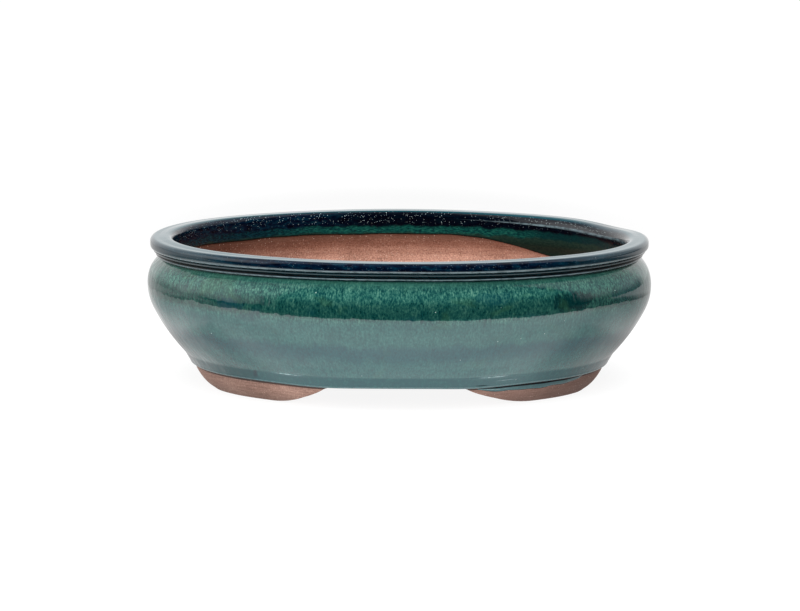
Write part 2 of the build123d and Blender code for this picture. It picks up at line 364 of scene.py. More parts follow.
def warp(stations, insets, levels):
    """The insets and levels of a piece after the unevenness of the whole bowl."""
    bearing = stations.bearing[:, None]
    wall = eased(share_past(levels, *WALL_FROM))
    lip = share_past(levels, *LIP_FROM)
    dip_at, dip_width, dip = LIP_DIP
    sag = crest_of(LIP_WAVES) - waves(bearing, LIP_WAVES)
    levels = levels - wall * (sag + dip * near_bearing(bearing, dip_at, dip_width))
    levels = levels - FRONT_DROP * lip * (1 - np.sin(bearing)) / 2
    neck = share_past(levels, *NECK_FROM) * share_past(insets, *NECK_WITHIN)
    neck = neck * (1 - NECK_EASE * share_past(levels, *NECK_EASES_FROM))
    levels = levels - neck * np.interp(bearing, *np.array(NECK_SAG).T)
    cordon = share_past(levels, *CORDON_BELOW) * share_past(levels, *CORDON_ABOVE)
    cordon = cordon * share_past(insets, *CORDON_WITHIN)
    for place, width, depth in CORDON_DIPS:
        levels = levels - depth * cordon * near_bearing(bearing, place, width)
    sway = crest_of(SIDE_WAVES) + waves(bearing + levels * SIDE_TWIST, SIDE_WAVES)
    return insets + wall * sway, levels


def skin_mesh(name, stations, insets, levels, coat_and_light=None):
    """A closed skin through the profiles of all stations, given as arrays [station, point].

    It keeps two attributes for the materials: skin, which is the place of each vertex on
    the widest line and along its profile, and a second one for the coat and painted light,
    which is above 0 for thick dark glaze and painted shade, and below 0 for thin light glaze and
    painted highlights.
    """
    count, size = insets.shape
    steps = np.hypot(np.diff(insets, axis=1), np.diff(levels, axis=1))
    along = np.concatenate((np.zeros((count, 1)), np.cumsum(steps, axis=1)), axis=1)
    insets, levels = warp(stations, insets, levels)
    points = np.stack((*plan_of(stations, insets), levels), axis=-1).reshape(-1, 3)
    index = np.arange(count * size).reshape(count, size)
    here = index if stations.closed else index[:-1]
    ahead = np.roll(index, -1, axis=0)[:len(here)]
    corners = (here, ahead, np.roll(ahead, -1, axis=1), np.roll(here, -1, axis=1))
    faces = np.stack(corners, axis=-1).reshape(-1, 4).tolist()
    if not stations.closed:
        faces += index[[0, -1]].tolist()
    mesh = bpy.data.meshes.new(name)
    mesh.from_pydata((points * MM).tolist(), [], faces)
    widest = stations.centre + stations.direction * stations.reach[:, None]
    skin = np.concatenate((np.repeat(widest, size, axis=0), along.reshape(-1, 1)), axis=1)
    mesh.attributes.new("skin", "FLOAT_VECTOR", "POINT").data.foreach_set("vector", skin.ravel())
    values = np.zeros(count * size) if coat_and_light is None else coat_and_light.ravel()
    mesh.attributes.new("coat_and_light", "FLOAT", "POINT").data.foreach_set("value", values)
    shape = bmesh.new()
    shape.from_mesh(mesh)
    bmesh.ops.recalc_face_normals(shape, faces=shape.faces)
    shape.to_mesh(mesh)
    shape.free()
    mesh.shade_smooth()
    piece = bpy.data.objects.new(name, mesh)
    bpy.context.scene.collection.objects.link(piece)
    return piece


def same_all_round(stations, profile):
    """One profile at every station, as arrays [station, point] of insets and of levels."""
    return tuple(np.tile(values, (len(stations.reach), 1)) for values in np.array(profile).T)


# The crease over the cordon, and small ledges where the glaze piled up on it: bearing and
# width, and their bands: level over the crease, height, amount.
CREASE_RISE = 0.35
LEDGES = ((-2.16, 0.09), (-1.07, 0.12))
LEDGE_SIZE = 0.25
LEDGE_BANDS = ((0.45, 0.35, 1.0), (-0.25, 0.4, -0.7))
# Painted lines on the cordon, highlights below 0 over the ledges and the run and painted shade
# above 0 in the groove over the run: bearing, width, level, height, amount.
CORDON_HIGHLIGHTS_AND_SHADE = (
    (-2.16, 0.085, 16.3, 0.30, -0.9),
    (-1.07, 0.085, 16.3, 0.30, -0.9),
    (-1.00, 0.070, 13.9, 0.28, -0.5),
    (-1.13, 0.050, 12.0, 0.28, 1.0),
)
# A painted highlight along the lower edge of the cordon's glaze: level over the feet, height,
# amount.
LOW_EDGE_RISE, LOW_EDGE_HEIGHT, LOW_EDGE_HIGHLIGHT = 0.8, 0.3, -0.40


def outer_glaze():
    """The coat over the belly and the cordon, with its crease, edge and small ledges."""
    crease_level = cordon_level + CREASE_RISE
    edge_inset, edge_level = cordon_inset + cordon_edge_radius, foot_height + cordon_edge_radius
    belly = outside_line(0, crease_level)
    strip = line_points(belly[-1], (cordon_inset, edge_level), FINE_STEP)
    roll = arc_points(edge_inset, edge_level, cordon_edge_radius, 0, -pi / 2, step=0.2)
    face = softened(joined(belly, strip, roll), passes=6)
    back = outside_line(glaze_thickness, foot_height + 0.3)[::-1]
    insets, levels = same_all_round(oval, joined(face.tolist(), back))
    ledge = sum(
        amount * near(levels, crease_level + rise, height) for rise, height, amount in LEDGE_BANDS
    )
    ledge *= LEDGE_SIZE * sum(near_bearing(oval.bearing, *place) for place in LEDGES)[:, None]
    # Painted highlight along the cordon's lower edge.
    coat_and_light = LOW_EDGE_HIGHLIGHT * near(levels, foot_height + LOW_EDGE_RISE, LOW_EDGE_HEIGHT)
    # Painted highlights over the ledges and the run, and painted shade in the groove over the run.
    for place, width, level, height, amount in CORDON_HIGHLIGHTS_AND_SHADE:
        line = near_bearing(oval.bearing, place, width)[:, None] * near(levels, level, height)
        coat_and_light += amount * line
    ledge[:, len(face):] = coat_and_light[:, len(face):] = 0
    return skin_mesh("belly_glaze", oval, insets + ledge, levels, coat_and_light)


# Turning rings inside the wall: size and waves by level. The fine ones climb as a spiral.
RING_SIZE, RING_PACE = 0.03, 1.55
WIDE_RING_SIZE, WIDE_RING_PACE = 0.02, 0.83


def belly_wall():
    """The clay wall: thrown, with faint rings on the inside, and a cove down on the floor."""
    cove_reach = flare_radius - wall_thickness - floor_cove_radius
    cove_level = floor_level + floor_cove_radius
    cove_angle = asin((flare_centre_level - cove_level) / cove_reach)
    cove_inset = flare_centre_inset - cove_reach * cos(cove_angle)
    cove_top = flare_centre_level - (flare_radius - wall_thickness) * sin(cove_angle)
    inside = [p for p in inner_wall_line(cove_top) if p[1] <= neck_level]
    inside = [(inner_clay_inset, neck_level)] + inside
    cove = arc_points(cove_inset, cove_level, floor_cove_radius, -cove_angle, -pi / 2)
    base = [(slab_inset, floor_level), (slab_inset, foot_height), (wall_base_inset, foot_height)]
    outside = outside_line(glaze_thickness, foot_height, step=1.0)[::-1]
    insets, levels = same_all_round(oval, joined(inside, cove, base, outside))
    rings = RING_SIZE * np.sin(levels * RING_PACE + oval.bearing[:, None])
    rings += WIDE_RING_SIZE * np.sin(levels * WIDE_RING_PACE + 1)
    # No rings where the wall meets the neck and the cove.
    seam = 4
    rings[:, :seam] = rings[:, len(inside):] = 0
    return skin_mesh("clay_wall", oval, insets + rings, levels)


# Painted shade in the groove over the neck's bead, and a light line on it from thin glaze and a
# painted highlight: height and amount.
GROOVE_SHADE_LINE, THIN_GLAZE_AND_HIGHLIGHT_LINE = (0.35, 1.0), (0.42, -1.1)


def neck_moulding():
    """The neck with its bead and its ring, glazed: painted shade in the groove over the bead, and
    thin glaze with a painted highlight low on it.
    """
    bead_bottom = neck_level + notch_height
    bead_top = bead_bottom + 2 * bead_radius
    ring_bottom = bead_top + groove_height
    ring_top = ring_bottom + 2 * ring_radius
    face = joined(
        line_points((ring_inset, lip_level), (ring_inset, ring_top), NECK_STEP),
        arc_points(ring_inset, ring_top - ring_radius, ring_radius, pi / 2, -pi / 2, NECK_STEP),
        line_points((ring_inset, ring_bottom), (bead_inset, bead_top), NECK_STEP),
        arc_points(bead_inset, bead_top - bead_radius, bead_radius, pi / 2, -pi / 2, NECK_STEP),
        line_points((bead_inset, bead_bottom), (neck_inset, neck_level), NECK_STEP),
    )
    face = softened(face, passes=7)
    back = [(inner_clay_inset, neck_level), (inner_clay_inset, lip_level)]
    insets, levels = same_all_round(oval, joined(face.tolist(), back))
    lines = ((bead_top - 0.2, *GROOVE_SHADE_LINE), (bead_bottom + 0.4 * bead_radius, *THIN_GLAZE_AND_HIGHLIGHT_LINE))
    coat_and_light = sum(amount * near(levels, level, height) for level, height, amount in lines)
    coat_and_light[:, len(face):] = 0
    return skin_mesh("neck_glazed", oval, insets, levels, coat_and_light)


# The lip's inner rounding is wider round one bearing, at the right end.
WIDE_ROUNDING = 5.4
WIDE_AT, WIDE_SPREAD = 0.25, 0.85


def lip_rows(depth, under=(), passes=0):
    """The lip's outline at every station, after points of its underside, softened."""
    narrow, wide = (
        softened(joined([*under, *lip_outline(depth, radius)]), passes)
        for radius in (lip_inner_radius, WIDE_ROUNDING)
    )
    share = near_bearing(oval.bearing, WIDE_AT, WIDE_SPREAD)[:, None, None]
    rows = narrow + share * (wide - narrow)
    return rows[:, :, 0], rows[:, :, 1]


def lip_clay():
    """The clay coil of the lip, under its glaze."""
    insets, levels = lip_rows(glaze_thickness)
    seat = np.ones((len(insets), 1))
    insets = np.concatenate((insets, seat * inner_clay_inset), axis=1)
    levels = np.concatenate((levels, seat * lip_level), axis=1)
    return skin_mesh("lip_clay", oval, insets, levels)


# The edge of the lip's glaze on the inside, and the splash at the right end.
INNER_EDGE = 62.0
EDGE_WAVES = ((7, 0.14, 0.3), (11, 0.12, 1.0), (19, 0.10, 2.0), (31, 0.07, 0.9))
SPLASH_DEPTH = 15.0
SPLASH_AT = 0.05
SPLASH_FROM = (1.25, -1.0)
# How a coat ends: height of its rounding and of the dark line on it, and its thickness.
EDGE_ROUNDING, EDGE_LINE = 0.5, 0.7
LEAST_THICKNESS = 0.02
# The light line under the lip, from thin glaze and a painted highlight: level over the coil's
# underside, height, amount.
LIP_LINE_RISE, LIP_LINE_HEIGHT, LIP_LINE_THIN_AND_HIGHLIGHT = -0.1, 0.75, -0.85


def inner_edge_level(bearing):
    """How far down the inside the lip's glaze comes: further in the splash."""
    splash = eased(share_past(np.abs(turned_from(bearing, SPLASH_AT)), *SPLASH_FROM))
    return INNER_EDGE - SPLASH_DEPTH * splash + waves(bearing, EDGE_WAVES)


def lip_glaze():
    """The coat over the lip and down the inside, ending in a rounded uneven edge."""
    under_level = lip_level - glaze_thickness
    under_end = lip_inset + lip_under_radius
    under = line_points((ring_inset, under_level), (under_end, under_level), FINE_STEP)
    over_insets, over_levels = lip_rows(0, under, passes=4)
    wall_insets, wall_levels = np.array(inner_wall_line(bottom=40.0)).T
    start, end = over_levels[:, -1:], inner_edge_level(oval.bearing)[:, None]
    down = start + (end - start) * np.linspace(0, 1, LIP_POINTS)
    clay = np.interp(-down, -wall_levels, wall_insets)
    face = clay + glaze_thickness * share_past(down, end, EDGE_ROUNDING) ** 0.5 + LEAST_THICKNESS
    back_insets, back_levels = (rows[:, ::-1] for rows in lip_rows(glaze_thickness))
    seat = np.ones((len(down), 1))
    insets = (over_insets, face[:, 1:], clay[:, ::-1], back_insets, seat * ring_inset)
    levels = (over_levels, down[:, 1:], down[:, ::-1], back_levels, seat * lip_level)
    insets, levels = np.concatenate(insets, axis=1), np.concatenate(levels, axis=1)
    coat_and_light = np.zeros_like(insets)
    first = over_levels.shape[1]
    last = first + LIP_POINTS - 1
    line = near(over_levels[:, 2:], lip_level + LIP_LINE_RISE, LIP_LINE_HEIGHT)
    coat_and_light[:, 2:first] = LIP_LINE_THIN_AND_HIGHLIGHT * line
    coat_and_light[:, first:last] = np.exp((end - down)[:, 1:] / EDGE_LINE)
    return skin_mesh("lip_glaze_coat", oval, insets, levels, coat_and_light)


def foot_inset(level):
    """Inset of the outer face of a foot at a level."""
    return foot_centre_inset - np.sqrt(foot_face_radius**2 - (foot_centre_level - level) ** 2)


# Arches: gap, flare radius, sweep radius. The front one is as the photograph shows it.
SIDE_ARCH = (side_gap, arch_flare_radius, arch_sweep_radius)
END_ARCH = (end_gap, arch_flare_radius, arch_sweep_radius)
FRONT_ARCH = {
    ("left", "front"): (side_gap - 2, 6.0, 38.0),
    ("right", "front"): (side_gap - 6, 4.0, 60.0),
}


def arch_level(distance, gap, flare, sweep):
    """How far up an arch is open at a distance from its middle."""
    turn = acos(1 - foot_height / (flare + sweep))
    flare_end = gap / 2 + flare * sin(turn)
    ground = flare_end + sweep * sin(turn)
    d = np.abs(distance)
    on_flare = foot_height - flare + np.sqrt(np.clip(flare**2 - (d - gap / 2) ** 2, 0, None))
    on_sweep = sweep - np.sqrt(np.clip(sweep**2 - (ground - d) ** 2, 0, None))
    level = np.where(d < gap / 2, foot_height, np.where(d < flare_end, on_flare, on_sweep))
    return np.where(d > ground, 0, level)


def foot(name, mirror_x, mirror_y, arch):
    """A foot between two arches, on the quarter of the base that the mirrors choose."""
    quarter = stations_on(FRONT_RIGHT_QUARTER, FOOT_STEP, False)
    mirror = np.array((mirror_x, mirror_y))
    centre, direction = quarter.centre * mirror, quarter.direction * mirror
    mirrored = bearings_added(centre, direction, quarter.reach, False)
    top_x, top_y = plan_of(mirrored, foot_top_inset)
    margin = 0.4
    keep = (np.abs(top_x) > arch[0] / 2 + margin) & (np.abs(top_y) > end_gap / 2 + margin)
    stations = kept_stations(mirrored, keep[:, 0])
    low = foot_edge_radius
    outer = foot_inset(low) + low
    inner = outer + foot_pad_width
    inner_top = inner + low + foot_inner_draft
    face = [(foot_inset(level), level) for level in np.linspace(foot_height, low, FOOT_POINTS)]
    profile = joined(
        face,
        [(outer - low / 2, low / 4)],
        line_points((outer, 0), (inner, 0), step=1.0),
        [(inner + low / 2, low / 4)],
        line_points((inner + low, low), (inner_top, foot_height), step=1.0),
        line_points((inner_top, foot_height), (foot_top_inset, foot_height), step=2.0),
    )
    insets, levels = same_all_round(stations, profile)
    share = levels / foot_height
    on_face = np.arange(len(profile)) < len(face)
    # An arch's edge on the leaning face depends on the face itself: this settles both.
    for _ in range(4):
        x, y = plan_of(stations, insets)
        open_level = np.maximum(arch_level(x, *arch), arch_level(y, *END_ARCH))
        levels = open_level + (foot_height - open_level) * share
        insets = np.where(on_face, foot_inset(levels), insets)
    return skin_mesh(name, stations, insets, levels)


# The glaze run on the front right foot: first and last bearing, how far down it comes at
# its ends, how much further between them, and the least, its thickness and its edge.
RUN_FIRST, RUN_LAST = radians(-66.0), radians(-26.5)
RUN_END, RUN_DEPTH, RUN_LEAST = 0.15, 3.3, 0.12
RUN_THICKNESS = 0.5
RUN_WAVES = ((3, 0.18, 1.0), (5, 0.14, 2.2))


def foot_run():
    """Glaze that ran from the cordon down over the front right foot, with an uneven edge."""
    quarter = stations_on(FRONT_RIGHT_QUARTER, RUN_STEP, False)
    within = (quarter.bearing > RUN_FIRST) & (quarter.bearing < RUN_LAST)
    stations = kept_stations(quarter, within)
    share = np.linspace(0, 1, len(stations.bearing))
    swell = np.sin(pi * share)
    depth = RUN_END + RUN_DEPTH * swell**0.4 + waves(share * 2 * pi, RUN_WAVES)
    depth = np.clip(depth, RUN_LEAST, foot_height - run_level)
    down = np.linspace(0, 1, RUN_POINTS)
    face_levels = foot_height - depth[:, None] * down
    clay = foot_inset(face_levels)
    thick = RUN_THICKNESS * (1 - down**3) ** 0.5
    thick = thick * np.clip(swell, 0.05, 1)[:, None] ** 0.5 + LEAST_THICKNESS
    insets = np.concatenate((clay - thick, clay[:, ::-1]), axis=1)
    levels = np.concatenate((face_levels, face_levels[:, ::-1]), axis=1)
    # Painted shade in the groove at its top, dark at its lower edge, and a painted highlight
    # between them at its left end.
    dark = np.clip(2.0 - down * 4.5, 0, 1) + np.clip((down - 0.86) / 0.08, 0, 0.8)
    light = near(down, 0.52, 0.07) * np.clip(1.0 - share * 2.4, 0, 0.8)[:, None]
    coat_and_light = np.concatenate((dark - light, np.zeros_like(clay)), axis=1)
    return skin_mesh("foot_run_glaze", stations, insets, levels, coat_and_light)


class Shader:
    """The nodes of a material or of the world: each call adds one and links its inputs."""

    def __init__(self, owner):
        self.owner = owner
        owner.use_nodes = True
        self.tree = owner.node_tree
        self.tree.nodes.clear()

    def node(self, kind, inputs=(), output=0, **settings):
        made = self.tree.nodes.new("ShaderNode" + kind)
        for key, value in settings.items():
            setattr(made, key, value)
        for key, value in dict(inputs).items():
            self.feed(value, made.inputs[key])
        return made.outputs[output] if output is not None else made

    def feed(self, value, socket):
        """A link from another node, or a plain value."""
        if isinstance(value, bpy.types.NodeSocket):
            self.tree.links.new(value, socket)
        else:
            socket.default_value = value

    def place(self):
        """The shaded point, in millimetres."""
        return self.scaled(self.node("NewGeometry", output="Position"), 1000, 1000, 1000)

    def parts(self, vector):
        return self.node("SeparateXYZ", {0: vector}, output=None).outputs

    def attribute(self, name, output):
        return self.node("Attribute", attribute_name=name, output=output)

    def scaled(self, vector, x, y, z):
        return self.node("VectorMath", {0: vector, 1: (x, y, z)}, operation="MULTIPLY")

    def noise(self, vector, scale, detail=2.0, rough=0.5, distortion=0.0):
        inputs = {"Vector": vector, "Scale": scale, "Detail": detail, "Roughness": rough}
        return self.node("TexNoise", inputs | {"Distortion": distortion})

    def math(self, operation, a, b=0.0, clamp=False):
        return self.node("Math", {0: a, 1: b}, operation=operation, use_clamp=clamp)

    def plus(self, a, b, clamp=False):
        return self.math("ADD", a, b, clamp)

    def minus(self, a, b, clamp=False):
        return self.math("SUBTRACT", a, b, clamp)

    def times(self, a, b):
        return self.math("MULTIPLY", a, b)

    def over(self, a, b):
        return self.math("DIVIDE", a, b)

    def absolute(self, value):
        return self.math("ABSOLUTE", value)

    def squares(self, a, b):
        """The sum of two squares."""
        return self.plus(self.times(a, a), self.times(b, b))

    def swing(self, noise, size):
        """A noise round 0, of a size."""
        return self.times(self.minus(noise, 0.5), size)

    def fade(self, value, low, high, to_low=0.0, to_high=1.0):
        """A soft change from one number to another, while the value goes from low to high."""
        inputs = {"Value": value, "From Min": low, "From Max": high}
        inputs |= {"To Min": to_low, "To Max": to_high}
        return self.node("MapRange", inputs, interpolation_type="SMOOTHSTEP")

    def ramp(self, value, *stops):
        """A colour for each value, from (value, colour) stops."""
        made = self.node("ValToRGB", {"Fac": value}, output=None)
        band = made.color_ramp
        while len(band.elements) < len(stops):
            band.elements.new(1.0)
        for element, (place, colour) in zip(band.elements, stops):
            element.position = place
            element.color = (*colour, 1)
        return made.outputs[0]

    def mix(self, share, a, b, blend="MIX"):
        """A share of colour b over colour a."""
        made = self.node("Mix", output=None, data_type="RGBA", blend_type=blend)
        for key, value in ((0, share), (6, a), (7, b)):
            self.feed((*value, 1) if isinstance(value, tuple) else value, made.inputs[key])
        return made.outputs[2]

    def blend(self, share, a, b):
        """A number between two others."""
        return self.node("Mix", {0: share, 2: a, 3: b}, data_type="FLOAT")

    def specks(self, vector, scale, size, share):
        """Small round specks: 1 inside, in a share of the cells."""
        inputs = {"Vector": vector, "Scale": scale, "Randomness": 1.0}
        cells = self.node("TexVoronoi", inputs, output=None).outputs
        chosen = self.node("SeparateColor", {"Color": cells["Color"]})
        inside = self.fade(cells["Distance"], size, size * 0.6)
        return self.times(inside, self.math("GREATER_THAN", chosen, 1 - share))

    def surface(self, colour, roughness, ior, bumps, shine=0.5):
        """The surface itself. Each bump is a (height, millimetres) pair."""
        inputs = {"Base Color": colour, "Roughness": roughness, "IOR": ior}
        inputs["Specular IOR Level"] = shine
        for height, size in bumps:
            bump = {"Height": height, "Distance": size * MM, "Strength": 1.0}
            if "Normal" in inputs:
                bump["Normal"] = inputs["Normal"]
            inputs["Normal"] = self.node("Bump", bump)
        return self.output(self.node("BsdfPrincipled", inputs))

    def output(self, surface):
        self.node("OutputMaterial", {"Surface": surface}, output=None)
        return self.owner


def new_shader(name):
    return Shader(bpy.data.materials.new(name))


# Patches where the belly's glaze ran thicker, only in front: x, level, half width, half
# height, amount, colour.
GLAZE_PATCHES = (
    (-81, 51.0, 7, 3.0, 0.60, (0.002, 0.024, 0.038)),
    (84, 52.8, 10.5, 4.6, 0.75, (0.0005, 0.012, 0.014)),
    (114, 54.0, 10, 7.0, 0.35, (0.006, 0.040, 0.052)),
    (45, 56.5, 10, 3.0, 0.30, (0.004, 0.040, 0.050)),
)
SHADE_GREEN = (0.0003, 0.017, 0.015)
CLOUD_BLUE = (0.001, 0.026, 0.038)
OLIVE = (0.026, 0.072, 0.026)
NECK_LIGHT_GREEN = (0.050, 0.200, 0.150)
CORDON_TEAL = (0.005, 0.047, 0.055)
CORDON_SHADOW = (0.003, 0.032, 0.036)
NOTCH_BLUE = (0.002, 0.014, 0.024)
THICK_EDGE_AND_SHADE = (0.002, 0.003, 0.004)
HIGHLIGHT_STREAK = (0.24, 0.34, 0.35)
WHITE_SPECK = (0.42, 0.52, 0.50)


def green_glaze():
    """The belly's glaze: runs of light green in dark green, calmer and greyer lower down."""
    s = new_shader("green_glaze")
    skin, coat_and_light = s.attribute("skin", "Vector"), s.attribute("coat_and_light", "Fac")
    across, ahead, level = s.parts(s.place())
    # Fine runs and mottling, in three depths of green from the shoulder down.
    fine = s.noise(s.scaled(skin, 1, 1, 0.5), 1.3, 3.0, 0.65)
    runs = s.noise(s.scaled(skin, 1, 1, 0.16), 0.75, 2.0, 0.6)
    mottle = s.noise(s.scaled(skin, 1, 1, 0.7), 0.22, 3.0, 0.6, 0.4)
    tone = s.plus(s.plus(s.times(fine, 0.62), s.times(runs, 0.18)), s.times(mottle, 0.20))
    upper = s.ramp(
        tone,
        (0.38, (0.001, 0.022, 0.024)),
        (0.47, (0.006, 0.050, 0.046)),
        (0.56, (0.028, 0.108, 0.084)),
        (0.66, (0.075, 0.185, 0.140)),
    )
    lower = s.ramp(
        tone,
        (0.36, (0.003, 0.044, 0.047)),
        (0.50, (0.009, 0.068, 0.067)),
        (0.66, (0.026, 0.110, 0.098)),
    )
    calm = s.ramp(
        tone,
        (0.36, (0.001, 0.031, 0.040)),
        (0.50, (0.002, 0.046, 0.055)),
        (0.66, (0.006, 0.063, 0.070)),
    )
    base = s.mix(s.fade(level, 50.0, 43.0), upper, lower)
    drips = s.swing(s.noise(s.scaled(skin, 1, 1, 0.4), 0.16, 4.0, 0.7), 12)
    edge_level = s.plus(level, drips)
    base = s.mix(s.fade(edge_level, 35.0, 31.2), base, calm)
    base = s.mix(s.fade(edge_level, 28.5, 22.5, 0.0, 0.7), base, lower)
    # Painted shade round the widest line under the shoulder, blue and olive clouds, and the thicker
    # patches.
    light_and_shade_pool = s.times(s.fade(level, 58.5, 53.0), s.fade(level, 46.2, 48.5))
    base = s.mix(s.times(light_and_shade_pool, 0.58), base, SHADE_GREEN)
    clouds = s.noise(s.scaled(skin, 1, 1, 1.3), 0.045, 3.0, 0.55, 0.6)
    blue = s.times(s.fade(clouds, 0.55, 0.70), s.fade(level, 60.0, 54.0, 0.1, 0.5))
    blue = s.times(blue, s.fade(level, 38.0, 48.0, 0.25, 1.0))
    base = s.mix(blue, base, CLOUD_BLUE)
    wander = s.swing(s.noise(s.scaled(skin, 1, 1, 0.40), 0.50, 4.0, 0.65), 5.0)
    for middle, middle_level, width, height, amount, tint in GLAZE_PATCHES:
        aside = s.over(s.minus(across, middle), width)
        above = s.over(s.minus(level, middle_level), height)
        away = s.plus(s.squares(aside, above), wander)
        share = s.times(s.fade(away, 1.3, 0.4, 0.0, amount), s.fade(ahead, 0, -20))
        base = s.mix(share, base, tint)
    olive = s.times(s.fade(clouds, 0.42, 0.34, 0.0, 0.20), s.fade(level, 40.0, 50.0, 0.4, 1.0))
    base = s.mix(olive, base, OLIVE)
    # Painted light on the belly just under the neck, where the lip shades it.
    base = s.mix(s.fade(level, 61.2, 65.2, 0.0, 0.5), base, NECK_LIGHT_GREEN)
    # The cordon: blotted teal, shaded at its left end, with a dark notch.
    cordon = s.fade(level, 16.5, 15.8)
    blots = s.noise(skin, 0.45, 3.0, 0.6)
    base = s.mix(s.times(cordon, s.fade(blots, 0.36, 0.60, 0.35, 0.95)), base, CORDON_TEAL)
    base = s.mix(s.times(cordon, s.fade(across, -69, -73, 0.0, 0.45)), base, CORDON_SHADOW)
    notch = s.fade(s.absolute(s.plus(across, 70)), 1.6, 0.4, 0.0, 0.7)
    notch = s.times(notch, s.times(cordon, s.fade(level, 11.8, 13.2)))
    base = s.mix(notch, base, NOTCH_BLUE)
    # Dark marks from thick glaze edges and painted groove shade, painted highlight streaks, and a
    # few white specks.
    edge_and_shade = s.fade(coat_and_light, 0.3, 0.9)
    base = s.mix(edge_and_shade, base, THICK_EDGE_AND_SHADE)
    highlight_streaks = s.times(s.fade(coat_and_light, -0.1, -0.9), s.fade(blots, 0.40, 0.56, 0.4, 1.0))
    base = s.mix(highlight_streaks, base, HIGHLIGHT_STREAK)
    base = s.mix(s.specks(skin, 0.35, 0.08, 0.07), base, WHITE_SPECK)
    # The surface swells most at the left, which makes its reflections uneven there.
    wide = s.noise(skin, 0.03, 2.0)
    swell = s.times(s.noise(skin, 0.085, 2.0), s.fade(across, -30, -75, 0.35, 1.0))
    small = s.noise(s.scaled(skin, 1, 1, 0.5), 0.30, 2.0)
    ripple = s.noise(s.scaled(skin, 1, 1, 0.5), 0.70, 2.0)
    bumps = ((wide, 0.30), (swell, 0.52), (small, 0.09), (ripple, 0.03))
    shine = s.times(s.fade(cordon, 0.0, 1.0, 0.5, 0.42), s.fade(edge_and_shade, 0.0, 1.0, 1.0, 0.1))
    return s.surface(base, roughness=0.04, ior=1.52, bumps=bumps, shine=shine)


NIGHT_BLACK = (0.0004, 0.0007, 0.0022)
SPLASH_DARK = (0.001, 0.012, 0.014)
END_TEAL = (0.001, 0.024, 0.034)
NECK_TEAL = (0.003, 0.022, 0.030)
FLAT_TOP_LIT_TEAL = (0.001, 0.034, 0.046)
EDGE_AND_SHADE_BLACK = (0.003, 0.003, 0.003)
CRYSTAL = (0.36, 0.44, 0.44)
THIN_AND_HIGHLIGHT_GREY = (0.120, 0.170, 0.190)


